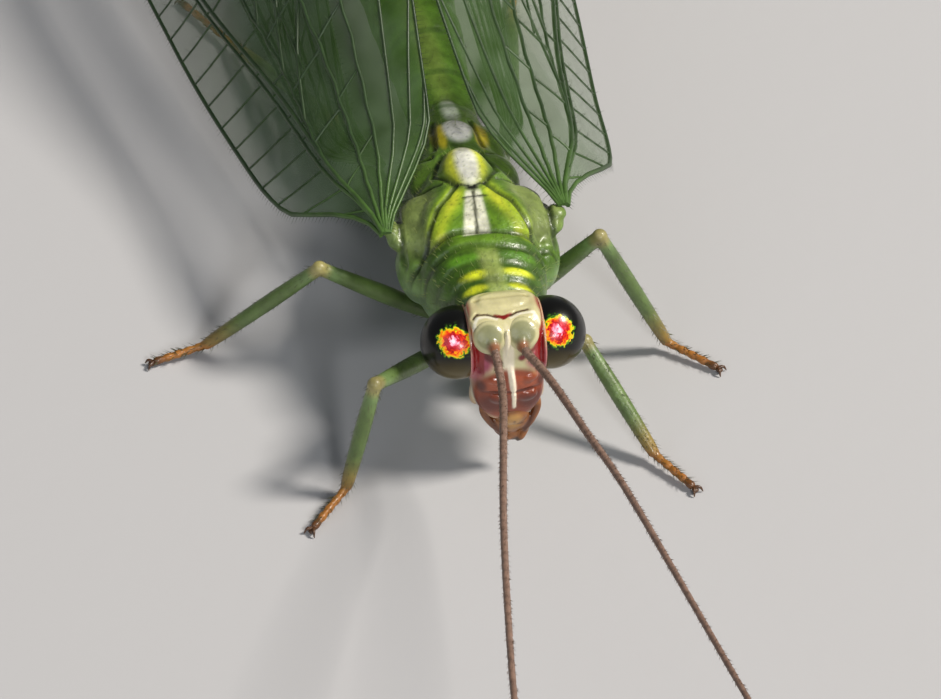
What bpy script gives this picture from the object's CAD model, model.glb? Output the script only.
from math import atan2, copysign, cos, hypot, pi, radians, sin, sqrt

import bpy
import numpy as np
from mathutils import Matrix, Vector


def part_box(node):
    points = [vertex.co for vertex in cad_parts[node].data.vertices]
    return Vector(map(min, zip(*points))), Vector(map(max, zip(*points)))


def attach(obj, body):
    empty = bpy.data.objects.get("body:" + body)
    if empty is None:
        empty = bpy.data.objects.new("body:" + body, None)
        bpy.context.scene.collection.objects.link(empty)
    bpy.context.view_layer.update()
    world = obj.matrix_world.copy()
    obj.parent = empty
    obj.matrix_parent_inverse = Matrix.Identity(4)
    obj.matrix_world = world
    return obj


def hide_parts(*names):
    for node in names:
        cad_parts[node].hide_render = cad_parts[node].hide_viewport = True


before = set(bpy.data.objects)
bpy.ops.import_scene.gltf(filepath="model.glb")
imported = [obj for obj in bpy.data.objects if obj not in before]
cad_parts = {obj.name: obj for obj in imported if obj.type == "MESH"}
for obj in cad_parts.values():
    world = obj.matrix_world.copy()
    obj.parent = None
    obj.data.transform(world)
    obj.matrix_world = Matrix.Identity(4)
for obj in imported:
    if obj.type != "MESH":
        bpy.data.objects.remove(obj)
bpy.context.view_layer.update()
rng = np.random.default_rng(7)

# Sizes are in millimetres, and MM turns them to metres
MM = 0.001
EYE_R = 0.45
EYE_X = 0.57
EYE_Z = 1.75
# The solid eye's facets lie this far inside its round
EYE_FACET = 0.004
# The body's middle lies a little off the head's
BODY_X = -0.05
eye_low, eye_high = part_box("eye_left")
HOME = Vector((
    eye_high.x - (EYE_X + EYE_R - EYE_FACET) * MM,
    (eye_low.y + eye_high.y) / 2,
    (eye_low.z + eye_high.z) / 2 - EYE_Z * MM,
))


# Helpers for meshes
def alone(piece):
    """Select one piece and make it active."""
    bpy.ops.object.select_all(action="DESELECT")
    piece.select_set(True)
    bpy.context.view_layer.objects.active = piece
    return piece


def added(name, data):
    piece = bpy.data.objects.new(name, data)
    bpy.context.collection.objects.link(piece)
    return piece


def fresh(name):
    piece = bpy.context.active_object
    piece.name = name
    piece.data.name = name
    return piece


def press(piece, kind, **settings):
    """Add a modifier, set it and apply it."""
    alone(piece)
    modifier = piece.modifiers.new(kind.title(), kind)
    for key, value in settings.items():
        setattr(modifier, key, value)
    bpy.ops.object.modifier_apply(modifier=modifier.name)
    return piece


def ball(centre, radii, turn=(0, 0, 0), fine=24):
    bpy.ops.mesh.primitive_uv_sphere_add(segments=fine, ring_count=fine // 2, radius=1, location=centre)
    piece = bpy.context.active_object
    piece.scale = radii
    piece.rotation_euler = [radians(a) for a in turn]
    bpy.ops.object.transform_apply(location=True, rotation=True, scale=True)
    return piece


def rod(points, radii, fine=3):
    """Tapered tube with closed ends along one path."""
    return rods([(points, radii)], fine)


def rods(paths, fine=3):
    """Many tapered tubes as one mesh, each with 4 + 2 * fine sides."""
    curve = bpy.data.curves.new("rod", "CURVE")
    curve.dimensions = "3D"
    curve.bevel_depth = 1
    curve.bevel_resolution = fine
    curve.use_fill_caps = True
    for points, radii in paths:
        spline = curve.splines.new("POLY")
        spline.points.add(len(points) - 1)
        for k, (p, r) in enumerate(zip(points, radii)):
            spline.points[k].co = (p[0], p[1], p[2], 1)
            spline.points[k].radius = r
        spline.use_smooth = True
    alone(added("rod", curve))
    bpy.ops.object.convert(target="MESH")
    return bpy.context.active_object


def ribbed(points, radii, steps):
    """A finely stepped path and its radii through a few points."""
    ts = np.linspace(0, 1, len(points))
    fine = np.linspace(0, 1, steps)
    path = [tuple(smooth_at(ts, [p[k] for p in points], t) for k in range(3)) for t in fine]
    return path, [smooth_at(np.linspace(0, 1, len(radii)), radii, t) for t in fine]


def joined(name, pieces):
    alone(pieces[0])
    for piece in pieces:
        piece.select_set(True)
    if len(pieces) > 1:
        bpy.ops.object.join()
    return fresh(name)


def one_skin(name, pieces, voxel, relax=4):
    """Fuse pieces to a single skin and soften where they met."""
    piece = joined(name, pieces)
    press(piece, "REMESH", mode="VOXEL", voxel_size=voxel)
    press(piece, "SMOOTH", factor=0.5, iterations=relax)
    return piece


def set_down(piece, material, slot, *nodes, smooth=True):
    """Bring a piece from millimetres to its place on the solids."""
    piece.data.transform(Matrix.Translation(HOME) @ Matrix.Scale(MM, 4))
    piece.data.materials.clear()
    piece.data.materials.append(material)
    if smooth:
        piece.data.shade_smooth()
    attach(piece, "root")
    if nodes:
        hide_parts(*nodes)
    return piece


def smooth_at(stations, values, t):
    """Value at t on a smooth curve through the stations."""
    last = len(stations) - 1
    i = 0
    while i < last - 1 and t > stations[i + 1]:
        i += 1

    def slope(j):
        a, b = max(0, j - 1), min(last, j + 1)
        return (values[b] - values[a]) / (stations[b] - stations[a])

    h = stations[i + 1] - stations[i]
    s = (t - stations[i]) / h
    s2, s3 = s * s, s * s * s
    start = (2 * s3 - 3 * s2 + 1) * values[i] + (s3 - 2 * s2 + s) * slope(i) * h
    return start + (3 * s2 - 2 * s3) * values[i + 1] + (s3 - s2) * slope(i + 1) * h


# Colours and markings
def linear(code):
    """sRGB hex to linear."""
    parts = [int(code[k:k + 2], 16) / 255 for k in (1, 3, 5)]
    return tuple(c / 12.92 if c <= 0.04045 else ((c + 0.055) / 1.055) ** 2.4 for c in parts)


def soft_step(low, high, value):
    """0 below low, 1 above high and smooth between."""
    s = np.clip((value - low) / (high - low), 0, 1)
    return s * s * (3 - 2 * s)


def within(value, rise, full, fade, gone):
    """Weight that rises from rise to full and falls from fade to gone."""
    return soft_step(rise, full, value) * (1 - soft_step(fade, gone, value))


def behind(p, low, high):
    """Weight that rises from 0 to 1 between two distances along the body, as ahead falls from 1 to 0."""
    return soft_step(low, high, p[:, 1])


def ahead(p, low, high):
    return 1 - behind(p, low, high)


def upper(p, low, high):
    """Weight that rises from 0 to 1 between two heights."""
    return soft_step(low, high, p[:, 2])


def belt(p, y, wide):
    """Weight of a band round the body at y."""
    return 1 - soft_step(wide * 0.4, wide, abs(p[:, 1] - y))


def spot(p, centre, radii, soft=0.35):
    """Weight of an oval mark, 1 inside and fading over its soft rim."""
    d = np.sqrt((((p - np.array(centre)) / np.array(radii)) ** 2).sum(1))
    return 1 - soft_step(1 - soft, 1 + soft, d)


def stroke(p, a, b, wide, soft=0.5):
    """Weight of a line mark from a to b."""
    a, b = np.array(a, float), np.array(b, float)
    along = b - a
    s = np.clip(((p - a) @ along) / (along @ along), 0, 1)
    d = np.linalg.norm(p - a - s[:, None] * along, axis=1)
    return 1 - soft_step(wide * (1 - soft), wide * (1 + soft), d)


def strokes(p, lines, wide, soft=0.5):
    """Weight of line marks, each through its own points."""
    return sum(stroke(p, a, b, wide, soft) for line in lines for a, b in zip(line, line[1:]))


def values_of(mesh, what):
    values = np.empty(len(mesh.vertices) * 3)
    mesh.vertices.foreach_get(what, values)
    return values.reshape(-1, 3)


def paint(piece, ground, marks=()):
    """Lay marks of (colour, strength, weight and its values) on a piece that is still in millimetres."""
    p = values_of(piece.data, "co")
    colour = np.tile(np.array(linear(ground)), (len(p), 1))
    for code, strength, weigh, *values in marks:
        w = np.clip(strength * weigh(p, *values), 0, 1)[:, None]
        colour = colour * (1 - w) + np.array(linear(code)) * w
    layer = piece.data.color_attributes.new("Markings", "FLOAT_COLOR", "POINT")
    layer.data.foreach_set("color", np.hstack([colour, np.ones((len(p), 1))]).ravel())


def groove(piece, depth, weigh):
    """Press seams into a skin along its own normals."""
    mesh = piece.data
    p = values_of(mesh, "co")
    p -= values_of(mesh, "normal") * depth * np.clip(weigh(p), 0, 1)[:, None]
    mesh.vertices.foreach_set("co", p.ravel())
    mesh.update()


def node(tree, kind, links=(), sockets=None, steps=(), **fields):
    """Add one node, set its fields, sockets and colour steps of (position, sRGB hex), and link its inputs."""
    made = tree.nodes.new("ShaderNode" + kind)
    for key, value in fields.items():
        setattr(made, key, value)
    for socket, value in (sockets or {}).items():
        made.inputs[socket].default_value = value
    for k, (at, code) in enumerate(steps):
        step = made.color_ramp.elements[k] if k < 2 else made.color_ramp.elements.new(at)
        step.position = at
        step.color = (*linear(code), 1)
    for socket, source in links:
        tree.links.new(source, made.inputs[socket])
    return made


def started(name):
    """A new material, its tree and the object coordinates in it."""
    material = bpy.data.materials.new(name)
    material.use_nodes = True
    tree = material.node_tree
    tree.nodes.clear()
    return material, tree, node(tree, "TexCoord").outputs["Object"]


def finished(material, tree, surface):
    node(tree, "OutputMaterial", [("Surface", surface.outputs[0])])
    return material


CHITIN_IOR = 1.56
PATCH = 0.22
GRAIN_DEEP = 0.016
UNDER_DEEP = 0.3
UNDER_SPREAD = (0.3, 0.35, 0.1)


def cuticle(name, rough, bump, grain, coat=0.0, under=0.0, mottle=0.12):
    """Insect cuticle: waxy chitin over soft tissue, its markings laid on as the animal has them."""
    material, tree, place = started(name)
    marks = node(tree, "Attribute", attribute_name="Markings").outputs["Color"]
    patch = node(tree, "TexNoise", [("Vector", place)], {"Scale": 1 / (PATCH * MM), "Detail": 4.0})
    shade = node(tree, "MapRange", [("Value", patch.outputs[0])], {
        "From Min": 0.3, "From Max": 0.7, "To Min": 1 - mottle, "To Max": 1 + mottle,
    })
    varied = node(tree, "VectorMath", [(0, marks), (1, shade.outputs[0])], operation="MULTIPLY")
    tooth = node(tree, "TexNoise", [("Vector", place)], {"Scale": 1 / (grain * MM), "Detail": 3.0})
    links = [("Height", tooth.outputs[0])]
    relief = node(tree, "Bump", links, {"Strength": bump, "Distance": GRAIN_DEEP * MM})
    links = [("Base Color", varied.outputs[0]), ("Normal", relief.outputs[0])]
    skin = node(tree, "BsdfPrincipled", links, {
        "Roughness": rough, "IOR": CHITIN_IOR, "Coat Weight": coat, "Coat Roughness": 0.12,
        "Subsurface Weight": under, "Subsurface Scale": UNDER_DEEP * MM, "Subsurface Radius": UNDER_SPREAD,
    })
    return finished(material, tree, skin)


head_cuticle = cuticle("Waxy_head_cuticle", 0.3, 0.35, 0.05, coat=0.4, under=0.06)
body_cuticle = cuticle("Waxy_body_cuticle", 0.41, 0.7, 0.06, coat=0.14, under=0.1, mottle=0.34)
leg_cuticle = cuticle("Satin_leg_cuticle", 0.42, 0.5, 0.05, coat=0.15, under=0.08, mottle=0.25)
antenna_cuticle = cuticle("Ringed_antenna_cuticle", 0.5, 0.5, 0.03, mottle=0.15)
vein_cuticle = cuticle("Wing_vein_cuticle", 0.42, 0.3, 0.04, mottle=0.25)
seta_cuticle = cuticle("Seta_cuticle", 0.4, 0.0, 0.05, mottle=0.05)

# Wings: the outline and roof of the solids, with a hinge and a fold over the body in front.
# Tables run along the wing, t from 0 at the root to 1 at the tip. LEAD, COSTAL and TRAIL are measured across
# the flat wing, SLOPE is the roof's in degrees, RIDGE_HALF the distance of the hind margin from the ridge.
WING_LENGTH = 16
WING_ROOT_Y = 1.7
WING_SKEW = radians(4.5)
WING_CURL = radians(6)
HIND_LENGTH = 13.2
HIND_START = 1.75
HIND_DROP = 0.9
STATION = [0, 0.05, 0.1, 0.2, 0.35, 0.5, 0.65, 0.8, 0.9, 1]
LEAD = [-0.2, -0.6, -1.05, -1.45, -1.7, -1.75, -1.6, -1.2, -0.7, 0.1]
COSTAL = [0.2, 0.55, 0.9, 1.05, 0.9, 0.7, 0.52, 0.35, 0.22, 0.1]
TRAIL = [0.3, 0.75, 1.15, 1.85, 2.7, 3.15, 3.25, 2.8, 2.0, 0.5]
SLOPE = [46, 47, 49, 54, 60, 61, 60, 57, 54, 52]
RIDGE_HALF = [1.13, 0.91, 0.68, 0.38, 0.31, 0.31, 0.31, 0.39, 0.86, 1.5]
RADIUS_Z = [2.32, 2.26, 2.2, 2.12, 2.02, 1.98, 1.95, 1.9, 1.85, 1.8]
HIND_STATION = [0, 0.15, 0.35, 0.6, 0.8, 1]
HIND_LEAD = [-0.8, -0.95, -1.05, -1.05, -0.8, 0.1]
HIND_TRAIL = [-0.38, 0.1, 1.15, 2.05, 1.85, 0.4]
MEET = 0.27
FOLD_STATION = [0, 0.03, 0.06, 0.1, 0.15, 0.2, 0.3, 0.4]
FOLD_HALF = [0.8, 0.46, 0.36, 0.28, 0.2, 0.13, 0.06, 0.04]
FOLD_Z = [2.3, 2.54, 2.66, 2.88, 3.24, 3.64, 4.35, 4.85]
FOLD_END = 0.42
FOLD_BEND = 1.4
LAST = 0.995
HINGE_HALF = {1: 1.06, -1: 1.2}
HINGE_Z = 2.2
HINGE_REACH = 0.09
HINGE_WIDTH = 0.14
HIND_HINGE_HALF = 0.72
HIND_HINGE_Z = 1.95
HIND_HINGE_WIDTH = 0.2
RIDGE_TOP = 5.55
MEMBRANE_THICK = 0.012
MEMBRANE_SAG = 0.012
SHEET_CELLS = (110, 40)

# Distances between the hairs of a margin and of a vein, and the width of a hair's place on the unwrap
FRINGE_STEP = 0.06
VEIN_HAIR_STEP = 0.16
HAIR_PLACE = 0.0015

# Vein radii, and a line's places (t, c): c is -1 at the costa, 0 at the radius and 1 at the hind margin
COSTA_R = 0.032
RADIUS_R = 0.034
MAIN_R = 0.028
STEM_R = 0.024
FORK_R = 0.022
MARGIN_R = 0.02
THIN_R = 0.018
CROSS_R = 0.016
END_R = 0.013
SUBCOSTA = -0.12


def roof(t, y, off, opened):
    """Distance from the ridge and height of the roof, at t of the length and y across the flat wing."""
    slope = radians(smooth_at(STATION, SLOPE, t) - opened)

    def tilt(w):
        return slope - WING_CURL * w

    def inward(w):
        return (sin(slope) - sin(tilt(w))) / WING_CURL

    def rise(w):
        return (cos(tilt(w)) - cos(slope)) / WING_CURL

    radius = smooth_at(STATION, LEAD, t) + smooth_at(STATION, COSTAL, t)
    across = smooth_at(STATION, RIDGE_HALF, t) + inward(smooth_at(STATION, TRAIL, t)) - inward(y)
    high = smooth_at(STATION, RADIUS_Z, t) + rise(y) - rise(radius)
    return across + off * sin(tilt(y)), high + off * cos(tilt(y))


def laid(across, t, high, side):
    """Turn a roof point by the skew of the folded wings."""
    x = side * across
    along = t * WING_LENGTH
    c, s = cos(WING_SKEW), sin(WING_SKEW)
    return (x * c - along * s, WING_ROOT_Y + x * s + along * c, high)


def rounded(table, t, tip):
    """Value of a table at t, rounded off toward the tip."""
    if t <= 0.8:
        return smooth_at(STATION, table, t)
    s = (t - 0.8) / 0.2
    return tip + (smooth_at(STATION, table, 0.8) - tip) * sqrt(max(0.004, 1 - s ** 2.2))


def fore_spot(t, c, off, side, opened):
    """Forewing: c runs from -1 at the costa through 0 at the radius to 1 at the hind margin."""
    t = min(max(t, 0), LAST)
    lead = rounded(LEAD, t, 0.2)
    radius = lead + smooth_at(STATION, COSTAL, t) * min(1, (1 - t) * 8 + 0.1)
    meet = MEET * min(1, t / 0.15) * (1 - max(0, (t - 0.75) / 0.25))
    trail = rounded(TRAIL, t, 0.45) + meet
    y = radius + c * (radius - lead) if c < 0 else radius + c * (trail - radius)
    across, high = roof(t, y, off, opened)
    if c > 0 and t < FOLD_END:
        edge, top = roof(t, trail, 0, opened)
        hold = 1 - float(soft_step(FOLD_END * 0.5, FOLD_END, t))
        across += (smooth_at(FOLD_STATION, FOLD_HALF, t) - edge) * hold * c ** FOLD_BEND
        high += (smooth_at(FOLD_STATION, FOLD_Z, t) - top) * hold * c ** FOLD_BEND
    spread = HINGE_WIDTH + (1 - HINGE_WIDTH) * float(soft_step(-0.01, HINGE_REACH, t))
    across = HINGE_HALF[side] + (across - HINGE_HALF[side]) * spread
    high = HINGE_Z + (high - HINGE_Z) * spread
    return laid(across, t, high, side)


def hind_spot(s, c, off, side, opened):
    """Hindwing, under the forewing's roof, with s along it and c across as on the forewing."""
    s = min(max(s, 0), LAST)
    t = (HIND_START + s * HIND_LENGTH) / WING_LENGTH
    end = 1 if s < 0.75 else sqrt(max(0.004, 1 - ((s - 0.75) / 0.25) ** 2.2))
    k = min(s, 0.75)
    lead = 0.2 + (smooth_at(HIND_STATION, HIND_LEAD, k) - 0.2) * end
    trail = 0.45 + (smooth_at(HIND_STATION, HIND_TRAIL, k) - 0.45) * end
    line = lead + 0.12 * (trail - lead)
    y = line + c * (line - lead) if c < 0 else line + c * (trail - line)
    across, high = roof(t, y, off - HIND_DROP, opened)
    spread = HIND_HINGE_WIDTH + (1 - HIND_HINGE_WIDTH) * float(soft_step(-0.01, 0.1, s))
    across = HIND_HINGE_HALF + (across - HIND_HINGE_HALF) * spread
    high = HIND_HINGE_Z + (high - HIND_HINGE_Z) * spread
    return laid(across, t, high, side)


def meets(line, t):
    """How far across a vein lies at t."""
    return float(np.interp(t, [q[0] for q in line], [q[1] for q in line]))


def vein_net(costal_count, fork_count, sector_from):
    """Veins of one wing, each a line of (t, c) with its radii, the margin first."""
    net = []

    def run(points, thick=CROSS_R, thin=None, steps=14, zigzag=0):
        thin = thick if thin is None else thin
        ts = np.linspace(0, 1, len(points))
        flat, radii = [], []
        for k, s in enumerate(np.linspace(0, 1, steps)):
            t = smooth_at(ts, [p[0] for p in points], s)
            c = smooth_at(ts, [p[1] for p in points], s)
            flat.append((t, c + zigzag * (k % 2 - 0.5)))
            radii.append(thick + (thin - thick) * s)
        net.append((flat, radii))
        return flat

    costa = [(t, -1) for t in np.linspace(0, LAST, 60)]
    margin = costa + [(t, 1) for t in np.linspace(0.99, 0, 60)]
    net.append((margin, [COSTA_R - 0.016 * k / 59 for k in range(60)] + [MARGIN_R] * 60))
    # Subcosta, radius, its sector, media and cubitus run the length of the wing, then three anal veins
    run([(0, SUBCOSTA), (0.3, -0.1), (0.6, SUBCOSTA), (0.86, -0.3)], MAIN_R, THIN_R, 40)
    run([(0, 0), (0.3, 0), (0.6, 0), (0.94, 0.02)], RADIUS_R, MARGIN_R, 40)
    sector = run(
        [(sector_from, 0.0), (0.25, 0.13), (0.5, 0.17), (0.75, 0.16), (0.97, 0.3)], STEM_R, CROSS_R, 44, 0.01,
    )
    media = run(
        [(0.0, 0.25), (0.1, 0.32), (0.3, 0.4), (0.55, 0.44), (0.8, 0.56)], MAIN_R, THIN_R, 40, 0.012,
    )
    cubitus = run(
        [(0.0, 0.45), (0.08, 0.5), (0.3, 0.62), (0.6, 0.68), (0.86, 0.78)], MAIN_R, THIN_R, 40, 0.012,
    )
    run([(0.0, 0.55), (0.1, 0.7), (0.22, 0.82), (0.34, 1)], STEM_R, CROSS_R)
    run([(0.0, 0.7), (0.08, 0.82), (0.2, 1)], STEM_R, CROSS_R)
    run([(0.0, 0.82), (0.06, 0.92), (0.12, 1)], STEM_R, CROSS_R)
    # Crossveins of the costal field
    for k in range(costal_count):
        t = 0.03 + 0.82 * k / costal_count
        run([(t, SUBCOSTA), (t + 0.006, -0.6), (t + 0.014, -1)], CROSS_R, 0.015, 5)
        run([(t + 0.01, 0), (t + 0.012, SUBCOSTA)], steps=2)
    # Branches of the sector, each forked before the hind margin, and the crossveins between them
    branches = []
    for k in range(fork_count):
        t0 = sector_from + 0.05 + (0.84 - sector_from) * k / fork_count
        c0 = meets(sector, t0)
        reach = 0.2 * (1 - t0) + 0.045
        rest = 1 - c0
        line = [(t0, c0), (t0 + 0.35 * reach, c0 + 0.25 * rest), (t0 + 0.8 * reach, c0 + 0.7 * rest)]
        run(line, FORK_R, CROSS_R, 8)
        end = line[-1]
        for spread in (-0.014, 0.014):
            run([end, (min(end[0] + 0.2 * reach + spread, 0.992), 1)], CROSS_R, END_R, 5)
        branches.append(line)
        run([(t0, 0), (t0, c0)], steps=3)
    for a, b in zip(branches, branches[1:]):
        for level in (0.25, 0.5, 0.75, 0.95):
            start = tuple(np.array(a[0]) * (1 - level) + np.array(a[2]) * level)
            stop = tuple(np.array(b[0]) * (1 - level) + np.array(b[2]) * level)
            run([start, stop], steps=3)
    # Crossveins from the radius or sector over the media and cubitus to the hind margin
    for k in range(12):
        t = 0.06 + 0.062 * k
        inner = (t, meets(sector, t)) if t > sector_from else (t, 0)
        run([inner, (t + 0.012, meets(media, t + 0.012))], steps=4)
        run([(t + 0.02, meets(media, t + 0.02)), (t + 0.034, meets(cubitus, t + 0.034))], steps=4)
        if t > 0.2:
            run([(t + 0.03, meets(cubitus, t + 0.03)), (t + 0.055, 0.9), (t + 0.066, 1)], THIN_R, END_R, 5)
    return net


def membrane(name, lay):
    """Thin sheet: a grid moved to the wing's own surface and given its thickness."""
    long, wide = SHEET_CELLS
    bpy.ops.mesh.primitive_grid_add(x_subdivisions=long, y_subdivisions=wide, size=2)
    piece = fresh(name)
    for vert in piece.data.vertices:
        u, c = (vert.co.x + 1) / 2, vert.co.y
        t = 1 - (1 - u) ** 1.3
        sag = MEMBRANE_SAG * sin(t * 150) * sin(c * 21) * (1 - c * c)
        vert.co = lay(t, c, sag)
    press(piece, "SOLIDIFY", thickness=MEMBRANE_THICK, offset=0)
    return piece


def hairs(name, roots, thick, sides=3):
    """Fine solid hairs as one mesh: a root is place, way, length and its spot on the skin's unwrap."""
    verts, faces, flat = [], [], []
    for place, way, length, spot_uv in roots:
        way = Vector(way).normalized()
        side = way.orthogonal().normalized()
        other = way.cross(side)
        base = len(verts)
        place = Vector(place)
        for k in range(sides):
            a = 2 * pi * k / sides
            verts.append(tuple(place + (side * cos(a) + other * sin(a)) * thick))
            flat.append((spot_uv[0] + HAIR_PLACE * cos(a), spot_uv[1] + HAIR_PLACE * sin(a)))
        verts.append(tuple(place + way * length))
        flat.append(spot_uv)
        for k in range(sides):
            faces.append((base + k, base + (k + 1) % sides, base + sides))
        faces.append(tuple(base + k for k in reversed(range(sides))))
    mesh = bpy.data.meshes.new(name)
    mesh.from_pydata(verts, [], faces)
    mesh.update()
    unwrap = mesh.uv_layers.new(name="OFBake")
    corners = np.empty(len(mesh.loops), dtype=np.int32)
    mesh.loops.foreach_get("vertex_index", corners)
    unwrap.data.foreach_set("uv", np.array(flat, dtype=np.float32)[corners].ravel())
    return added(name, mesh)


def set_hairs(name, roots, thick, code, slot, *nodes):
    """Hairs of one colour, brought to their place on the solids."""
    piece = hairs(name, roots, thick)
    paint(piece, code)
    set_down(piece, seta_cuticle, slot, *nodes, smooth=False)


def film():
    """Wing membrane: clear chitin a few thousandths thick, faintly green with a soft film gloss."""
    material, tree, place = started("Clear_chitin_membrane")
    ripple = node(tree, "TexNoise", [("Vector", place)], {"Scale": 1 / (0.5 * MM), "Detail": 3.0})
    relief = node(tree, "Bump", [("Height", ripple.outputs[0])], {"Strength": 0.45, "Distance": 0.05 * MM})
    tint = node(tree, "ValToRGB", [("Fac", ripple.outputs[0])], steps=[(0.3, "#39561f"), (0.7, "#567048")])
    # Denser toward the root of the wing
    split = node(tree, "SeparateXYZ", [("Vector", place)])
    dense = node(tree, "MapRange", [("Value", split.outputs["Y"])], {
        "From Min": HOME.y + 2 * MM, "From Max": HOME.y + 8 * MM, "To Min": 0.46, "To Max": 0.26,
    })
    links = [("Base Color", tint.outputs[0]), ("Normal", relief.outputs[0]), ("Alpha", dense.outputs[0])]
    sheet = node(tree, "BsdfPrincipled", links, {"Roughness": 0.2, "IOR": CHITIN_IOR})
    return finished(material, tree, sheet)


wing_film = film()


def build_wing(name, spot_at, side, opened, net):
    """Membrane, hairs and veins of one wing."""
    def lay(t, c, off=0):
        return spot_at(t, c, off, side, opened)

    sheet = membrane(name + "_membrane", lay)
    set_down(sheet, wing_film, "wing_membrane", name)

    roots = []
    margin = net[0][0]
    middle = Vector(lay(0.5, 0.4))
    for (t0, c0), (t1, c1) in zip(margin, margin[1:]):
        a, b = Vector(lay(t0, c0)), Vector(lay(t1, c1))
        along = (b - a).normalized()
        steps = max(1, int((b - a).length / FRINGE_STEP))
        for k in range(steps):
            root = a.lerp(b, k / steps)
            out = root - middle
            out = (out - along * out.dot(along)).normalized() + along * 0.3
            length = 0.03 if t0 > 0.93 or root.z > RIDGE_TOP else 0.1 + 0.05 * rng.random()
            roots.append((root, out, length, (t0 + (t1 - t0) * k / steps, (c0 + 1) / 2)))
    for flat, _ in net[1:]:
        for (t0, c0), (t1, c1) in zip(flat, flat[1:]):
            long = (Vector(lay(t1, c1)) - Vector(lay(t0, c0))).length
            for _ in range(max(1, int(long / VEIN_HAIR_STEP))):
                s = rng.random()
                t, c = t0 + (t1 - t0) * s, c0 + (c1 - c0) * s
                root = Vector(lay(t, c))
                if root.z > RIDGE_TOP:
                    continue
                up = Vector(lay(t, c, 1)) - root + Vector(rng.normal(0, 0.25, 3).tolist())
                up += Vector((0, 0.4, 0))
                roots.append((root, up, 0.07 + 0.05 * rng.random(), (min(t, LAST), (c + 1) / 2)))
    set_hairs(name + "_setae", roots, 0.005, "#33402c", "wing_membrane", name)

    veins = joined(name + "_veins", [rods([([lay(*q) for q in flat], radii) for flat, radii in net], 1)])
    paint(veins, "#2a3f20", [
        ("#1c2c1a", 0.7, behind, 4.0, 12.0),
        ("#466628", 0.8, ahead, 1.9, 3.4),
    ])
    set_down(veins, vein_cuticle, "wing_membrane", name)


for side_name, side, opened in (("left", 1, 0), ("right", -1, 2)):
    build_wing("forewing_" + side_name, fore_spot, side, opened, vein_net(26, 13, 0.1))
    build_wing("hindwing_" + side_name, hind_spot, side, opened, vein_net(18, 11, 0.08))


# Trunk: neck, thorax plates and abdomen under one skin
def lofted(stations, steps, power=2.0, hangs=False):
    """Closed body through stations of (along, two middles, two half widths), along Y or Z."""
    at = [s[0] for s in stations]
    bpy.ops.mesh.primitive_cylinder_add(vertices=48, radius=1, depth=2, end_fill_type="TRIFAN")
    piece = bpy.context.active_object
    bpy.ops.object.mode_set(mode="EDIT")
    for k in range(1, steps):
        bpy.ops.mesh.select_all(action="SELECT")
        bpy.ops.mesh.bisect(plane_co=(0, 0, -1 + 2 * k / steps), plane_no=(0, 0, 1))
    bpy.ops.object.mode_set(mode="OBJECT")
    for vert in piece.data.vertices:
        along = at[0] + (at[-1] - at[0]) * (vert.co.z + 1) / 2
        x0, w0, half, deep = (smooth_at(at, [s[k] for s in stations], along) for k in (1, 2, 3, 4))
        reach = max(1e-6, hypot(vert.co.x, vert.co.y))
        c, s = vert.co.x / reach, vert.co.y / reach
        x = x0 + half * reach * copysign(abs(c) ** (2 / power), c)
        w = w0 + deep * reach * copysign(abs(s) ** (2 / power), s)
        vert.co = (x, w, along) if hangs else (x, along, w)
    return piece


def both(centre, radii, middle=BODY_X, turn=(0, 0, 0)):
    """The same swelling left and right of the body's middle."""
    x, y, z = centre
    return [
        ball((middle + x, y, z), radii, turn),
        ball((middle - x, y, z), radii, (turn[0], -turn[1], -turn[2])),
    ]


RINGS = 9
RINGS_FROM = 4.1
RINGS_LONG = 7.1


def abdomen_rings():
    """Stations of the abdomen, three to a ring so that each one swells behind a narrow joint."""
    rings = [(3.6, -0.03, 1.62, 0.42, 0.46)]
    for k in range(RINGS):
        t = k / RINGS
        low = RINGS_FROM + RINGS_LONG * t
        half = smooth_at([0, 0.1, 0.25, 0.5, 0.8, 1], [0.44, 0.48, 0.56, 0.6, 0.5, 0.3], t)
        mid_z = smooth_at([0, 0.3, 0.7, 1], [1.58, 1.6, 1.55, 1.4], t)
        x0 = -0.02 - 0.42 * t * t
        for off, across, deep in ((0, 0.95, 0.96), (0.14, 0.99, 1.01), (0.55, 1.02, 1.05)):
            rings.append((low + off, x0, mid_z, half * across, half * deep))
    rings.append((11.1, -0.43, 1.38, 0.17, 0.2))
    return rings


# Stations of the neck, pronotum and thorax: along, middle across, middle height, half width, half height
NECK = [(-0.2, 0, 1.75, 0.32, 0.3), (0.1, 0, 1.78, 0.42, 0.4), (0.4, 0, 1.8, 0.5, 0.44)]
PRONOTUM = [
    (0.2, -0.02, 1.78, 0.48, 0.44), (0.28, -0.02, 1.78, 0.55, 0.51), (0.38, -0.03, 1.77, 0.58, 0.545),
    (0.43, -0.03, 1.76, 0.61, 0.575), (0.56, -0.04, 1.76, 0.665, 0.615), (0.62, -0.04, 1.75, 0.68, 0.62),
    (0.68, -0.05, 1.75, 0.705, 0.64), (0.84, -0.06, 1.75, 0.76, 0.68), (0.9, -0.06, 1.75, 0.765, 0.68),
    (0.97, -0.07, 1.75, 0.785, 0.7), (1.1, -0.08, 1.75, 0.79, 0.715), (1.2, -0.08, 1.74, 0.72, 0.67),
]
THORAX = [
    (1.0, -0.06, 1.72, 0.62, 0.6), (1.25, -0.06, 1.72, 0.76, 0.7), (1.6, -0.05, 1.72, 0.82, 0.76),
    (2.0, -0.05, 1.7, 0.8, 0.8), (2.4, -0.05, 1.68, 0.7, 0.78), (2.75, -0.05, 1.66, 0.6, 0.7),
    (3.2, -0.05, 1.64, 0.56, 0.64), (3.8, -0.03, 1.6, 0.5, 0.55), (4.2, -0.03, 1.58, 0.44, 0.46),
]
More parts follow.
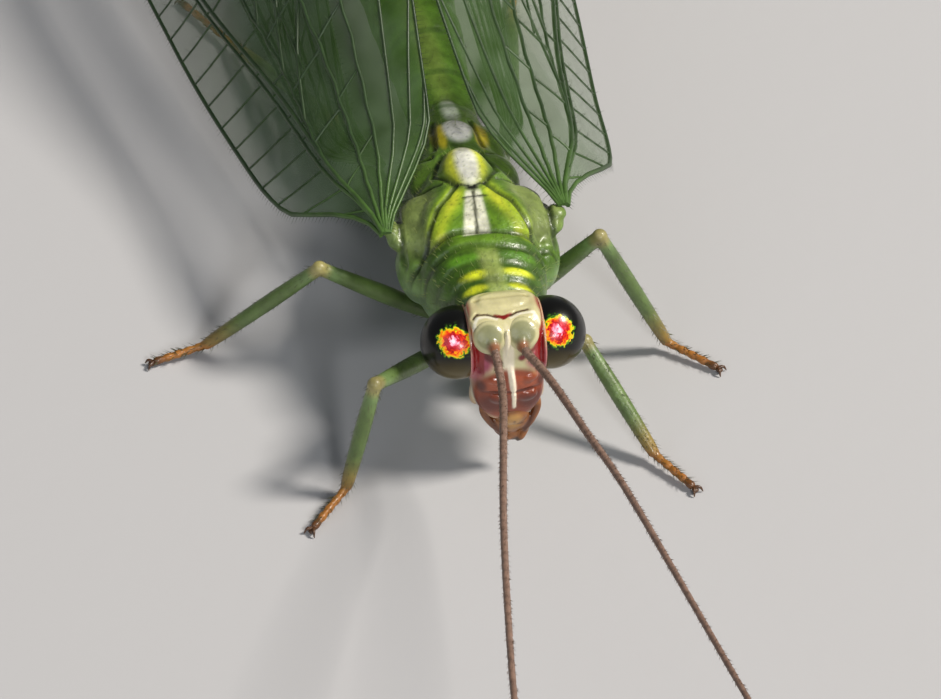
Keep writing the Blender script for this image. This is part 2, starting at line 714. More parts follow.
trunk = [
    lofted(NECK, 8),
    lofted(PRONOTUM, 60, 2.4),
    lofted(THORAX, 30, 2.3),
    lofted(abdomen_rings(), 90, 2.1),
    # Scutellum, metanotum and the back of the first ring
    ball((-0.06, 2.4, 2.3), (0.34, 0.52, 0.27)),
    ball((-0.05, 3.3, 2.12), (0.34, 0.42, 0.2)),
    ball((-0.03, 3.9, 2.0), (0.24, 0.42, 0.13)),
    # Plates left and right of them
    *both((0.27, 1.6, 2.22), (0.44, 0.62, 0.27)),
    *both((0.62, 1.86, 2.1), (0.4, 0.5, 0.2), turn=(0, 22, 0)),
    *both((0.42, 2.66, 2.06), (0.32, 0.42, 0.18), turn=(0, 24, 0)),
    *both((0.4, 3.36, 1.92), (0.28, 0.46, 0.17), turn=(0, 24, 0)),
    # Knobs at the hinges of the forewings
    *both((0.9, 1.74, 2.02), (0.22, 0.24, 0.13), turn=(0, 12, 20)),
    *both((1.04, 1.78, 2.13), (0.13, 0.14, 0.07), turn=(0, 20, 20)),
    # Sides over the legs
    *both((0.82, 1.4, 1.68), (0.19, 0.42, 0.36), turn=(0, 0, -14)),
    *both((0.72, 2.3, 1.56), (0.24, 0.5, 0.4)),
    *both((0.56, 3.3, 1.5), (0.2, 0.42, 0.34)),
]
trunk_skin = one_skin("trunk_skin", trunk, 0.026, 14)


def mirrored(p, centre, radii, soft=0.35, middle=BODY_X):
    """The same oval mark left and right of the middle."""
    x, y, z = centre
    return spot(p, (middle + x, y, z), radii, soft) + spot(p, (middle - x, y, z), radii, soft)


def lambda_bands(p, inset, wide, soft):
    """Two bands that run inward from the shoulders to the point of the scutellum."""
    left = [(0.5 - inset, 1.24, 2.34), (0.13, 2.0, 2.55)]
    right = [(-0.66 + inset, 1.27, 2.34), (-0.22, 2.0, 2.55)]
    return strokes(p, [left, right], wide, soft)


def spread_stripe(p):
    """Pale middle stripe, wide at the pronotum and narrow at the scutellum."""
    s = np.clip((p[:, 1] - 1.14) / 0.8, 0, 1)
    off = abs(p[:, 0] + 0.12 - 0.07 * s)
    wide = 0.17 - 0.08 * s
    along = within(p[:, 1], 1.12, 1.18, 1.9, 1.97)
    return (1 - soft_step(wide - 0.03, wide + 0.03, off)) * along * upper(p, 2.2, 2.35)


def drawn(p, lines, wide, soft=0.5, low=1.8, high=1.95):
    """Weight of lines on the upper side, through points of (across, along) as seen from above."""
    return upper(p, low, high) * strokes(p[:, :2], lines, wide, soft)


def flecks(p, fine, share):
    """Weight of small uneven flecks."""
    wave = np.sin(p[:, 0] * fine + 2 * np.sin(p[:, 1] * fine * 0.7))
    wave *= np.sin(p[:, 1] * fine * 1.3 + 2 * np.sin(p[:, 0] * fine * 0.9))
    return soft_step(share, share + 0.2, wave)


# Lines between the plates of the thorax: round the mesonotum and scutellum, then beside and behind them
SEAMS = [
    [
        (0.6, 1.22), (0.4, 1.7), (0.12, 2.06), (0.34, 2.45), (0.2, 2.88),
        (-0.3, 2.88), (-0.46, 2.45), (-0.24, 2.06), (-0.53, 1.7), (-0.76, 1.24),
    ],
    [(0.3, 2.2), (0.86, 2.36)], [(-0.42, 2.2), (-0.98, 2.36)],
    [(0.3, 2.95), (0.66, 3.02)], [(-0.42, 2.95), (-0.76, 3.02)],
    [(0.28, 3.1), (0.22, 3.75)], [(-0.34, 3.1), (-0.28, 3.75)],
    [(0.9, 1.3), (0.86, 2.2)], [(-1.0, 1.3), (-0.98, 2.2)],
]
MIDDLE_LINE = [[(-0.11, 1.2), (-0.05, 1.9)]]
POINT_LINES = [[(0.14, 2.09), (-0.05, 1.98), (-0.24, 2.09)], [(-0.2, 1.8), (0.1, 1.8)]]
FOLDS = [(0.41, 0.35), (0.66, 0.3), (0.93, 0.6), (1.2, 0.9)]


def seams(p):
    """Lines between the plates of the thorax and the folds of the pronotum."""
    wavy = p + 0.04 * np.sin(p[:, [1, 0, 2]] * 5)
    folds = sum(deep * belt(wavy, y, 0.06) for y, deep in FOLDS)
    return np.clip(drawn(p, SEAMS, 0.032, 0.6) + folds * upper(p, 1.6, 1.9), 0, 1)


def ring_joints(p):
    """Weight of the narrow joints between the rings of the abdomen."""
    return sum(belt(p, RINGS_FROM + RINGS_LONG * k / RINGS, 0.07) for k in range(RINGS))


groove(trunk_skin, 0.035, seams)
paint(trunk_skin, "#587828", [
    # Abdomen, sides and pronotum
    ("#638f2c", 0.8, behind, 3.9, 4.6),
    ("#6d8c58", 1, lambda p: 0.8 * (1 - upper(p, 1.5, 1.95)) * ahead(p, 3.6, 4.4)),
    ("#3c5c0c", 1, lambda p: within(p[:, 1], 0.1, 0.25, 1.14, 1.22) * upper(p, 1.7, 2.0)),
    ("#548418", 1, mirrored, (0.34, 0.78, 2.36), (0.24, 0.06, 0.2), 0.5, -0.02),
    ("#c3cc22", 1, lambda p: mirrored(p, (0.27, 0.33, 2.2), (0.15, 0.05, 0.25), 0.4, 0.0)
     + mirrored(p, (0.24, 0.52, 2.33), (0.2, 0.055, 0.25), 0.5, 0.02)),
    ("#93a355", 0.85, stroke, (0.0, 0.25, 2.3), (-0.08, 1.1, 2.48), 0.12, 0.5),
    ("#c9cf8d", 0.7, spot, (-0.06, 1.04, 2.46), (0.26, 0.05, 0.2), 0.5),
    # Mesonotum, its two bands and pale middle
    ("#7c8a4e", 0.85, mirrored, (0.74, 1.82, 2.2), (0.36, 0.56, 0.4), 0.3),
    ("#577a18", 1, lambda p: spot(p, (-0.06, 1.5, 2.5), (0.62, 0.64, 0.5), 0.2) * upper(p, 2.1, 2.3)),
    ("#96ae26", 1, lambda_bands, 0.0, 0.14, 0.6),
    ("#c2c733", 0.8, lambda_bands, 0.11, 0.055, 0.8),
    ("#d2d3bd", 1, spread_stripe),
    # Scutellum
    ("#5f7a22", 1, spot, (-0.06, 2.42, 2.5), (0.36, 0.5, 0.3), 0.2),
    ("#bcc232", 1, spot, (-0.06, 2.44, 2.5), (0.25, 0.38, 0.3), 0.3),
    ("#d6d7ca", 1, spot, (-0.05, 2.42, 2.6), (0.14, 0.44, 0.3), 0.35),
    ("#83876e", 0.6, spot, (-0.05, 2.78, 2.55), (0.08, 0.14, 0.3), 0.5),
    # Metanotum and the back of the abdomen
    ("#bfb02c", 1, mirrored, (0.29, 3.42, 2.15), (0.08, 0.26, 0.3), 0.5, 0.02),
    ("#d5c42e", 0.8, mirrored, (0.24, 3.3, 2.2), (0.06, 0.26, 0.3), 0.4, 0.02),
    ("#dcddd6", 1, spot, (0.0, 3.42, 2.36), (0.19, 0.3, 0.25), 0.25),
    ("#bcc6b4", 0.9, spot, (0.0, 4.05, 2.2), (0.12, 0.36, 0.2), 0.4),
    ("#8aa34a", 0.7, stroke, (-0.03, 4.4, 2.15), (-0.4, 10.6, 1.7), 0.16, 0.6),
    ("#446822", 0.55, ring_joints),
    # Flecks and lines
    ("#2f4a10", 1, lambda p: 0.4 * flecks(p, 34, 0.7) * upper(p, 1.7, 2.0) * ahead(p, 3.8, 4.4)),
    ("#22330c", 0.8, seams),
    ("#2c3016", 0.9, drawn, MIDDLE_LINE, 0.02),
    ("#0d0f08", 1, lambda p: spot(p, (-0.05, 1.97, 2.56), (0.08, 0.045, 0.2), 0.4)
     + 0.85 * drawn(p, POINT_LINES, 0.018)),
])

TRUNK_NODES = ("prothorax", "mesothorax", "metathorax", "abdomen")
roots = []
for vert in trunk_skin.data.vertices:
    y, z = vert.co.y, vert.co.z
    if vert.normal.z < -0.1 or not 0.25 < y < 10.8 or rng.random() > (0.03 if y < 1.25 else 0.01):
        continue
    lean = Vector((0, 0.5, 0)) + Vector(rng.normal(0, 0.2, 3).tolist())
    angle = atan2(vert.co.x, z - 1.65) / (2 * pi) + 0.5
    roots.append((vert.co.copy(), vert.normal + lean, 0.06 + 0.05 * rng.random(), (y / 12, angle)))
set_hairs("body_setae", roots, 0.003, "#8f9a58", "green_cuticle", *TRUNK_NODES)
set_down(trunk_skin, body_cuticle, "green_cuticle", *TRUNK_NODES)


# Head: flat vertex, deep-set eyes, short face that hangs to the mouth
EYE_INNER = 0.45
ORBIT_R = 0.425
ORBIT_THICK = 0.024


def orbit(side):
    """Raised rim in which the eye sits."""
    bpy.ops.mesh.primitive_torus_add(
        location=(side * EYE_INNER, 0, EYE_Z), rotation=(0, radians(90), 0),
        major_radius=ORBIT_R, minor_radius=ORBIT_THICK, major_segments=48, minor_segments=10,
    )
    return bpy.context.active_object


# Stations of the face and vertex: height, middle across, middle along, half width, half depth
FACE = [
    (0.9, 0.0, -0.37, 0.26, 0.16), (1.1, 0, -0.32, 0.4, 0.24), (1.35, 0, -0.25, 0.45, 0.3),
    (1.6, 0, -0.2, 0.43, 0.34), (1.85, 0, -0.17, 0.42, 0.34), (2.05, -0.01, -0.13, 0.43, 0.35),
    (2.18, -0.01, -0.08, 0.45, 0.34), (2.25, -0.01, -0.04, 0.44, 0.31), (2.29, -0.01, -0.02, 0.38, 0.26),
]
VERTEX = [(2.2, -0.01, 0.06, 0.38, 0.2), (2.27, -0.01, 0.06, 0.36, 0.19), (2.32, -0.01, 0.06, 0.26, 0.12)]
FACE_RIDGE = [(0.0, -0.49, 1.78), (0.02, -0.56, 1.58), (0.035, -0.59, 1.35), (0.045, -0.56, 1.1)]
head_parts = [
    lofted(FACE, 40, 3.4, True),
    lofted(VERTEX, 6, 2.6, True),
    # Swellings of the face and its middle ridge
    ball((0.02, -0.43, 1.4), (0.36, 0.15, 0.3)),
    ball((0.03, -0.43, 1.12), (0.29, 0.13, 0.16)),
    ball((-0.03, -0.44, 1.98), (0.05, 0.08, 0.26)),
    *both((0.19, -0.5, 1.52), (0.13, 0.07, 0.07), 0.03, (0, -16, 0)),
    *both((0.17, -0.53, 1.26), (0.13, 0.06, 0.09), 0.03, (0, -10, 0)),
    rod(FACE_RIDGE, [0.02, 0.03, 0.032, 0.02]),
    # Rims of the eyes, cheeks, and the walls behind the eyes
    orbit(1), orbit(-1),
    *both((0.22, -0.36, 1.82), (0.16, 0.13, 0.2), 0.0),
    *both((0.34, -0.26, 1.22), (0.11, 0.14, 0.26), 0.0, (0, -14, 0)),
    *both((0.36, 0, EYE_Z), (0.085, 0.42, 0.42), 0.0),
    *both((0.43, -0.02, EYE_Z), (0.04, 0.43, 0.42), 0.0),
]
head_skin = one_skin("head_skin", head_parts, 0.015, 4)


def eye_rim(p, low, high):
    """Weight along the rim of the eye, between two distances from the middle of the head."""
    ring = abs(np.hypot(p[:, 1], p[:, 2] - EYE_Z) - 0.43)
    band = within(abs(p[:, 0]), low - 0.01, low + 0.01, high - 0.01, high + 0.01)
    return (1 - soft_step(0.07, 0.12, ring)) * band


# Fine dark lines over the antennae and the pale ridges below them, seen from above
BROWS = [
    [(0.05, -0.215), (0.14, -0.165), (0.27, -0.14)],
    [(-0.13, -0.215), (-0.22, -0.16), (-0.34, -0.14), (-0.4, -0.19)],
]
BROW_EDGES = [
    [(0.05, -0.26), (0.16, -0.205), (0.33, -0.2), (0.38, -0.3)],
    [(-0.13, -0.26), (-0.24, -0.2), (-0.36, -0.21), (-0.41, -0.31)],
]
FACE_LINE = [[(0.0, -0.52, 1.74), (0.035, -0.62, 1.35), (0.045, -0.6, 1.08)]]
PALE_SIDES = [[(0.5, -0.3, 1.36), (0.3, -0.4, 1.02)], [(-0.53, -0.3, 1.36), (-0.3, -0.4, 1.02)]]
RED_POINT = [[(0.06, -0.2, 2.3), (-0.04, -0.25, 2.29), (-0.14, -0.2, 2.3)]]
paint(head_skin, "#c3bc8e", [
    # Vertex, ridge between the antennae and cheeks
    ("#b9b683", 0.7, behind, 0.02, 0.22),
    ("#a49a68", 0.8, stroke, (-0.34, 0.1, 2.3), (0.3, 0.1, 2.3), 0.02, 0.6),
    ("#e6dcc0", 1, spot, (-0.02, -0.5, 1.86), (0.07, 0.3, 0.4), 0.3),
    ("#c9a888", 1, lambda p: 0.8 * (1 - upper(p, 1.45, 1.75))),
    ("#b9506a", 1, lambda p: mirrored(p, (0.36, -0.42, 1.78), (0.16, 0.25, 0.14), 0.4, 0.0)
     + 0.8 * mirrored(p, (0.42, -0.38, 1.62), (0.1, 0.25, 0.18), 0.5, 0.0)),
    ("#6d0a0c", 1, lambda p: stroke(p, (-0.42, -0.4, 1.98), (-0.16, -0.5, 1.82), 0.06, 0.5)
     + stroke(p, (0.38, -0.4, 1.98), (0.14, -0.5, 1.84), 0.045, 0.5)),
    # Rims of the eyes
    ("#8a1414", 1, lambda p: eye_rim(p, 0.31, 0.445) * upper(p, 1.5, 1.7)),
    ("#c08676", 1, eye_rim, 0.455, 0.52),
    # Face
    ("#8a3a14", 1, lambda p: spot(p, (0.0, -0.5, 1.3), (0.47, 0.36, 0.4), 0.12) * ahead(p, -0.28, -0.2)),
    ("#541806", 0.9, mirrored, (0.24, -0.56, 1.18), (0.18, 0.3, 0.14), 0.6, 0.02),
    ("#a04e2c", 0.7, mirrored, (0.19, -0.56, 1.46), (0.14, 0.3, 0.1), 0.7, 0.02),
    ("#3c0d08", 1, lambda p: 0.8 * mirrored(p, (0.37, -0.46, 1.44), (0.06, 0.3, 0.08), 0.6, 0.02)
     + 0.7 * mirrored(p, (0.16, -0.56, 1.36), (0.17, 0.3, 0.02), 0.6, 0.02)),
    ("#d9cdb0", 0.9, strokes, PALE_SIDES, 0.05, 0.5),
    ("#efe4cb", 1, strokes, FACE_LINE, 0.04, 0.3),
    # Lines over the antennae
    ("#7a100d", 1, strokes, RED_POINT, 0.03, 0.4),
    ("#4d3a26", 1, drawn, BROWS, 0.016, 0.5, 2.0, 2.1),
    ("#e9e4cf", 0.8, drawn, BROW_EDGES, 0.022, 0.5, 1.9, 2.0),
])


def head_folds(p):
    """Folds over the antennae, behind the vertex and across the face."""
    return (
        drawn(p, BROWS, 0.03, low=2.0, high=2.1)
        + stroke(p, (-0.34, 0.1, 2.3), (0.3, 0.1, 2.3), 0.03, 0.5)
        + stroke(p, (-0.36, -0.44, 1.66), (0.36, -0.44, 1.64), 0.03, 0.5)
        + mirrored(p, (0.16, -0.56, 1.36), (0.17, 0.3, 0.025), 0.5, 0.02)
    )


groove(head_skin, 0.014, head_folds)
set_down(head_skin, head_cuticle, "head_cuticle", "head")

# Mouthparts: labrum, mandibles and palps
PALP_R = [0.06, 0.06, 0.045, 0.02]
LIP_PALP_R = [0.04, 0.045, 0.04, 0.018]
PALPS = [
    ([(0.33, -0.36, 1.1), (0.35, -0.4, 0.94), (0.28, -0.45, 0.76), (0.19, -0.48, 0.62)], PALP_R),
    ([(-0.29, -0.36, 1.1), (-0.3, -0.4, 0.94), (-0.21, -0.45, 0.76), (-0.1, -0.48, 0.62)], PALP_R),
    ([(0.2, -0.34, 0.8), (0.22, -0.42, 0.66), (0.16, -0.47, 0.52), (0.1, -0.44, 0.43)], LIP_PALP_R),
    ([(-0.15, -0.34, 0.8), (-0.15, -0.42, 0.66), (-0.04, -0.46, 0.54), (0.03, -0.44, 0.46)], LIP_PALP_R),
]
mouth = [
    ball((0.03, -0.46, 0.92), (0.22, 0.12, 0.17)),
    ball((0.04, -0.42, 0.78), (0.23, 0.11, 0.2)),
    ball((0.06, -0.4, 0.56), (0.09, 0.08, 0.14)),
    *(rod(*ribbed(points, radii, 18)) for points, radii in PALPS),
]
DARK_PALPS = [[(0.35, -0.42, 0.95), (0.19, -0.5, 0.64)], [(-0.3, -0.42, 0.95), (-0.12, -0.5, 0.62)]]
mouthparts = one_skin("mouthparts", mouth, 0.013, 2)
paint(mouthparts, "#8a5424", [
    ("#b98a48", 1, spot, (0.04, -0.55, 0.86), (0.1, 0.2, 0.16), 0.5),
    ("#4a2110", 0.85, strokes, DARK_PALPS, 0.045, 0.6),
    ("#6e3a1a", 0.7, spot, (0.03, -0.5, 1.04), (0.24, 0.2, 0.07), 0.5),
    ("#4a2812", 1, lambda p: 0.7 * stroke(p, (0.05, -0.58, 0.86), (0.07, -0.5, 0.5), 0.018, 0.6)
     + 0.7 * stroke(p, (-0.12, -0.52, 0.82), (0.18, -0.52, 0.78), 0.016, 0.6)),
    ("#241008", 0.9, spot, (0.09, -0.46, 0.45), (0.06, 0.2, 0.06), 0.5),
])
set_down(mouthparts, head_cuticle, "head_cuticle", "head")

# Eyes: LOOK is the way to the camera and LOOK_UP the way up as seen by it
LOOK = Vector((-0.123, -0.733, 0.669))
LOOK_UP = Vector((0.11, 0.66, 0.743))
FIRE = [
    (0.0, "#f2d4de"), (0.15, "#e593ac"), (0.22, "#c32034"), (0.36, "#8f0a10"), (0.45, "#d8300c"),
    (0.54, "#ee8a0c"), (0.61, "#dcc014"), (0.66, "#4f8a16"), (0.72, "#14260a"), (0.78, "#060705"),
    (1.0, "#050504"),
]


def eye_glass(name, side):
    """Compound eye: a hard clear lens layer, black, with a fiery interference patch toward the face."""
    material, tree, place = started(name)
    centre = Vector((side * EYE_X, 0, EYE_Z))
    outward = Vector((0.24 if side > 0 else -0.06, 0, 0))
    heart = HOME + (centre + (LOOK + outward).normalized() * EYE_R) * MM
    # Distance from the heart of the patch, roughened by specks and a slow wave
    reach = node(tree, "VectorMath", [(0, place)], {1: heart}, operation="DISTANCE")
    speck = node(tree, "TexVoronoi", [("Vector", place)], {"Scale": 1 / (0.032 * MM)})
    wander = node(tree, "TexNoise", [("Vector", place)], {"Scale": 1 / (0.13 * MM), "Detail": 2.0})
    near = {1: 1 / (0.3 * MM), 2: -0.32}
    heat = node(tree, "Math", [(0, reach.outputs["Value"])], near, operation="MULTIPLY_ADD")
    for source, share in ((speck.outputs["Color"], 0.26), (wander.outputs[0], 0.38)):
        links = [(0, source), (2, heat.outputs[0])]
        heat = node(tree, "Math", links, {1: share}, operation="MULTIPLY_ADD")
    fire = node(tree, "ValToRGB", [("Fac", heat.outputs[0])], steps=FIRE)
    # The lower edge of the eye is paler
    offset = node(tree, "VectorMath", [(0, place)], {1: HOME + centre * MM}, operation="SUBTRACT")
    height = node(tree, "VectorMath", [(0, offset.outputs[0])], {1: LOOK_UP / MM}, operation="DOT_PRODUCT")
    links = [("Value", height.outputs["Value"])]
    low = node(tree, "MapRange", links, {"From Min": -0.2, "From Max": -0.44, "To Max": 1.0})
    links = [("Factor", low.outputs[0]), (6, fire.outputs[0])]
    glow = node(tree, "Mix", links, {7: (*linear("#574a18"), 1)}, data_type="RGBA", blend_type="ADD")
    facet = node(tree, "TexVoronoi", [("Vector", place)], {"Scale": 1 / (0.018 * MM)})
    links = [("Height", facet.outputs["Distance"])]
    relief = node(tree, "Bump", links, {"Strength": 0.15, "Distance": 0.004 * MM})
    links = [
        ("Base Color", glow.outputs[2]), ("Emission Color", fire.outputs[0]), ("Normal", relief.outputs[0]),
    ]
    lens = node(tree, "BsdfPrincipled", links, {
        "Roughness": 0.28, "Emission Strength": 0.26, "Specular IOR Level": 0.35,
        "Coat Weight": 0.2, "Coat Roughness": 0.08,
    })
    return finished(material, tree, lens)


for side_name, side in (("left", 1), ("right", -1)):
    eye = ball((side * EYE_X, 0, EYE_Z), (EYE_R * 0.99, EYE_R, EYE_R), fine=64)
    eye = joined("eye_lens_" + side_name, [eye])
    for vert in eye.data.vertices:
        if side * vert.co.x < EYE_INNER:
            vert.co.x = side * EYE_INNER
    paint(eye, "#050504")
    set_down(eye, eye_glass("Faceted_eye_" + side_name, side), "eye", "eye_" + side_name)

# Antennae: round scape, small pedicel, then a long ringed flagellum
ANTENNA = {
    "left": [
        (0.13, -0.56, 2.07), (0.35, -1.35, 2.18), (0.52, -2.6, 2.5), (0.68, -3.9, 2.88),
        (0.84, -5.9, 3.45), (1.05, -8.4, 4.1), (1.4, -11.2, 4.6), (2.0, -13.9, 4.85),
    ],
    "right": [
        (-0.2, -0.55, 2.09), (-0.24, -1.35, 2.1), (-0.45, -2.6, 2.5), (-0.78, -4.5, 3.05),
        (-1.15, -7.0, 3.75), (-1.45, -9.4, 4.25), (-1.75, -11.8, 4.6), (-2.1, -14.1, 4.8),
    ],
}
SCAPE = {"left": (0.165, -0.4, 2.14), "right": (-0.235, -0.4, 2.13)}
FLAGELLUM_R = 0.053
FLAGELLUM_STEPS = 640


def any_side(along):
    """A random turn about a line, and the way out from the line at that turn."""
    turn = rng.uniform(0, 2 * pi)
    out = along.orthogonal().normalized()
    out.rotate(Matrix.Rotation(turn, 3, along))
    return turn, out


def around(path, ring, count, length, way):
    """Hair roots set about a tube, leaning toward its tip by way."""
    found = []
    last = len(path) - 2
    for k in range(4, last):
        a, b = Vector(path[k]), Vector(path[k + 1])
        along = (b - a).normalized()
        for _ in range(count):
            turn, out = any_side(along)
            unwrap = (k / last, turn / (2 * pi))
            found.append((a + out * ring[k] * 0.8, out + along * way, length, unwrap))
    return found


def build_antenna(name):
    """Scape and pedicel, flagellum and hairs of one antenna."""
    points = ANTENNA[name]
    middle = Vector(SCAPE[name])
    first, second = Vector(points[0]), Vector(points[1])

    def scape_rim(p):
        return soft_step(0.135, 0.17, np.linalg.norm(np.cross(p - np.array(middle), np.array(LOOK)), axis=1))

    stem = [middle.lerp(first, 0.45), middle.lerp(first, 0.8), first, first.lerp(second, 0.12)]
    parts = [
        ball(middle, (0.205, 0.205, 0.1), (48, 0, -9.5), 32),
        rod(*ribbed(stem, [0.085, 0.075, 0.068, 0.054], 10), 5),
    ]
    base = one_skin("scape_" + name, parts, 0.013, 4)
    paint(base, "#8f8f68", [
        ("#bdb88c", 1, scape_rim),
        ("#7c8060", 0.6, spot, middle + Vector((0, -0.12, 0.06)), (0.09, 0.2, 0.09), 0.6),
        ("#8a5c40", 1, spot, first.lerp(second, 0.08), (0.1, 0.12, 0.1), 0.4),
    ])
    set_down(base, head_cuticle, "head_cuticle", "antenna_" + name)

    # The flagellum tapers to half, and each eighth step is the narrow joint of two rings
    count = FLAGELLUM_STEPS
    path, _ = ribbed(points, [1, 1], count)
    ring = [FLAGELLUM_R * (1 - 0.5 * k / count) * (1.0 if k % 8 else 0.8) for k in range(count)]
    whip = joined("flagellum_" + name, [rod(path, ring)])
    paint(whip, "#82685a", [
        ("#644d40", 1, lambda p: 0.45 * (np.sin(p[:, 1] * 2 * pi / 0.18) > 0.5)),
        ("#553f31", 0.5, ahead, -13, -5),
    ])
    set_down(whip, antenna_cuticle, "antenna_cuticle", "antenna_" + name)
    roots = around(path, ring, 2, 0.06, 1.4)
    set_hairs("antenna_setae_" + name, roots, 0.0045, "#6b5546", "antenna_cuticle", "antenna_" + name)


build_antenna("left")
build_antenna("right")

# Legs: coxa, trochanter and knee, then ankle and toe as seen from above
LEGS = {
    "fore_left": [(0.36, 0.85, 0.95), (0.42, 1.15, 0.66), (1.09, 0.36, 1.2), (1.79, -0.69), (2.16, -1.25)],
    "fore_right": [
        (-0.36, 0.85, 0.95), (-0.46, 1.15, 0.66), (-1.64, -0.45, 1.62), (-2.05, -0.65), (-2.53, -1.19),
    ],
    "mid_left": [(0.4, 1.9, 0.9), (0.6, 1.95, 0.62), (1.44, 1.32, 2.04), (2.35, 1.32), (2.9, 0.83)],
    "mid_right": [(-0.4, 1.9, 0.9), (-0.6, 1.85, 0.62), (-2.0, 1.8, 1.6), (-3.44, 2.23), (-4.11, 2.11)],
    "hind_left": [(0.35, 3.45, 0.95), (0.45, 3.55, 0.6), (1.1, 5.6, 0.86), (1.6, 8.5), (2.0, 9.7)],
    "hind_right": [(-0.4, 3.45, 0.95), (-0.5, 3.55, 0.6), (-1.3, 5.5, 0.92), (-2.3, 8.3), (-2.9, 9.5)],
}
ANKLE_Z = 0.15
TOE_Z = 0.07
TARSUS_R = 0.056
TARSUS_JOINTS = 5


def between(a, b, s):
    return tuple(a[k] + (b[k] - a[k]) * s for k in range(3))


def down(p, top, end):
    """How far each point is from the top of a limb to its end, 0 to 1 and a little over."""
    top = np.array(top)
    along = np.array(end) - top
    return np.clip(((p - top) @ along) / (along @ along), 0, 1.2)


def leg_skin(name, coxa, trochanter, knee, ankle, toe):
    """Coxa, femur, tibia and the jointed tarsus under one skin."""
    femur = [trochanter, between(trochanter, knee, 0.4), knee]
    tibia = [knee, between(knee, ankle, 0.4), between(knee, ankle, 0.85), ankle]
    parts = [
        rod(*ribbed([coxa, between(coxa, trochanter, 0.5), trochanter], [0.2, 0.19, 0.12], 10), 5),
        rod(*ribbed(femur, [0.088, 0.118, 0.088], 16), 5),
        ball(knee, (0.1, 0.1, 0.1), fine=16),
        rod(*ribbed(tibia, [0.085, 0.1, 0.088, 0.07], 16), 5),
    ]
    for k in range(TARSUS_JOINTS):
        a, b, next_a = (between(ankle, toe, (k + part) / TARSUS_JOINTS) for part in (0, 0.85, 1.05))
        thick = [TARSUS_R * 0.75, TARSUS_R, TARSUS_R * 0.95]
        parts.append(rod(*ribbed([a, between(a, b, 0.6), b], thick, 6), 4))
        parts.append(rod([b, next_a], [TARSUS_R * 0.7, TARSUS_R * 0.7]))
    skin = one_skin("leg_skin_" + name, parts, 0.02, 3)
    paint(skin, "#566c36", [
        ("#6b8450", 0.8, spot, knee, (0.3, 0.3, 0.3), 0.6),
        ("#a08c58", 0.8, spot, knee, (0.13, 0.13, 0.13), 0.6),
        ("#8a6a30", 1, lambda p: 0.9 * soft_step(0.62, 1.0, down(p, knee, ankle)) * (p[:, 2] < 0.9)),
        ("#9a6224", 1, lambda p: 1 - upper(p, 0.14, 0.26)),
        ("#5d3814", 1, spot, toe, (0.14, 0.14, 0.14), 0.5),
    ])
    return skin


def leg_claws(name, ankle, toe):
    """Pad and two hooked claws."""
    tip = Vector(toe)
    way = (tip - Vector(ankle)).normalized()
    across = way.cross(Vector((0, 0, 1))).normalized()
    claws = [ball(tip + way * 0.03 - Vector((0, 0, 0.02)), (0.045, 0.045, 0.03), fine=12)]
    for s in (1, -1):
        bend = tip + way * 0.06 + across * s * 0.05 + Vector((0, 0, 0.015))
        point = tip + way * 0.09 + across * s * 0.075 - Vector((0, 0, 0.045))
        claws.append(rod(*ribbed([tip, bend, point], [0.026, 0.019, 0.006], 8)))
    claw = joined("claws_" + name, claws)
    paint(claw, "#4a2c12")
    return claw


def leg_roots(limbs):
    """Hair roots on limbs of (start, end, thickness, count), none under the foot or at a joint."""
    roots = []
    for a, b, thick, count in limbs:
        a, b = Vector(a), Vector(b)
        along = (b - a).normalized()
        for _ in range(count):
            s = rng.random()
            turn, out = any_side(along)
            root = a.lerp(b, s) + out * thick * 0.75
            if root.z + out.z * 0.1 < 0.08 or s > 0.97:
                continue
            length = 0.07 + 0.05 * rng.random()
            roots.append((root, out + along * 1.1, length, (s / 3 + (thick < 0.09) / 3, turn / 6.3)))
    return roots


for name, (coxa, trochanter, knee, ankle, toe) in LEGS.items():
    ankle = (*ankle, ANKLE_Z)
    toe = (*toe, TOE_Z)
    skin = leg_skin(name, coxa, trochanter, knee, ankle, toe)
    set_down(skin, leg_cuticle, "leg_cuticle", "leg_" + name)
    set_down(leg_claws(name, ankle, toe), leg_cuticle, "leg_cuticle", "leg_" + name)
    roots = leg_roots([(trochanter, knee, 0.1, 110), (knee, ankle, 0.085, 260), (ankle, toe, 0.055, 130)])
    set_hairs("leg_setae_" + name, roots, 0.005, "#45472c", "leg_cuticle", "leg_" + name)

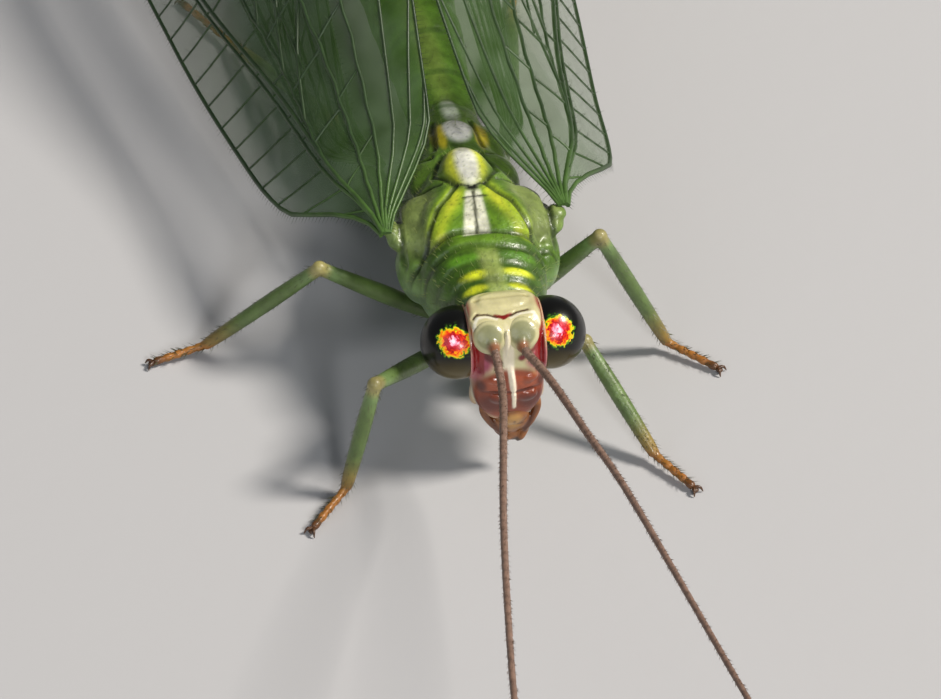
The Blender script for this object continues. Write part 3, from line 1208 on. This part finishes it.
# Floor, light and camera
bpy.ops.mesh.primitive_plane_add(size=0.6, location=(0, 0, 0))
floor = fresh("floor")
material, tree, place = started("Matt_paper_floor")
tooth = node(tree, "TexNoise", [("Vector", place)], {"Scale": 1 / (0.4 * MM), "Detail": 4.0})
relief = node(tree, "Bump", [("Height", tooth.outputs[0])], {"Strength": 0.15, "Distance": 0.02 * MM})
paper = node(tree, "BsdfPrincipled", [("Normal", relief.outputs[0])], {
    "Base Color": (*linear("#b4b4b6"), 1), "Roughness": 0.85,
})
floor.data.materials.append(finished(material, tree, paper))

world = bpy.data.worlds.new("Studio")
bpy.context.scene.world = world
bpy.context.scene.view_settings.view_transform = "Standard"
world.use_nodes = True
sky = world.node_tree.nodes["Background"]
sky.inputs["Color"].default_value = (*linear("#dfe3e8"), 1)
sky.inputs["Strength"].default_value = 0.16


def lamp(name, place, size, power, colour="#ffffff"):
    light = bpy.data.lights.new(name, "AREA")
    light.shape = "DISK"
    light.size = size
    light.energy = power
    light.color = linear(colour)
    holder = added(name, light)
    holder.location = place
    holder.rotation_euler = (-Vector(place)).to_track_quat("-Z", "Y").to_euler()


lamp("key", (0.17, -0.02, 0.2), 0.06, 0.86, "#fff8ee")
lamp("fill", (-0.2, -0.16, 0.18), 0.2, 0.14, "#eef4ff")
lamp("front", (0.03, -0.25, 0.14), 0.05, 0.3)

# The camera stands far off and sees the middle of the eyes at EYES_PX, with SCALE pixels to a millimetre
WIDE, TALL = 941, 699
turn, lift = radians(-9.5), radians(42)
DISTANCE = 50
SCALE = 82.5
FOCAL = SCALE * DISTANCE
SENSOR = 36
EYES = Vector((0, 0, EYE_Z))
EYES_PX = (503, 337)
back = Vector((sin(turn) * cos(lift), -cos(turn) * cos(lift), sin(lift)))
right = Vector((cos(turn), sin(turn), 0))
up = back.cross(right)
stand = EYES + back * DISTANCE
stand -= right * (EYES_PX[0] - WIDE / 2) / FOCAL * DISTANCE
stand -= up * (TALL / 2 - EYES_PX[1]) / FOCAL * DISTANCE
camera_data = bpy.data.cameras.new("camera")
camera_data.sensor_width = SENSOR
camera_data.lens = FOCAL / WIDE * SENSOR
camera_data.clip_start = 0.001
camera_data.clip_end = 5
camera = added("camera", camera_data)
camera.matrix_world = Matrix.Translation(HOME + stand * MM) @ Matrix((right, up, back)).transposed().to_4x4()
bpy.context.scene.camera = camera
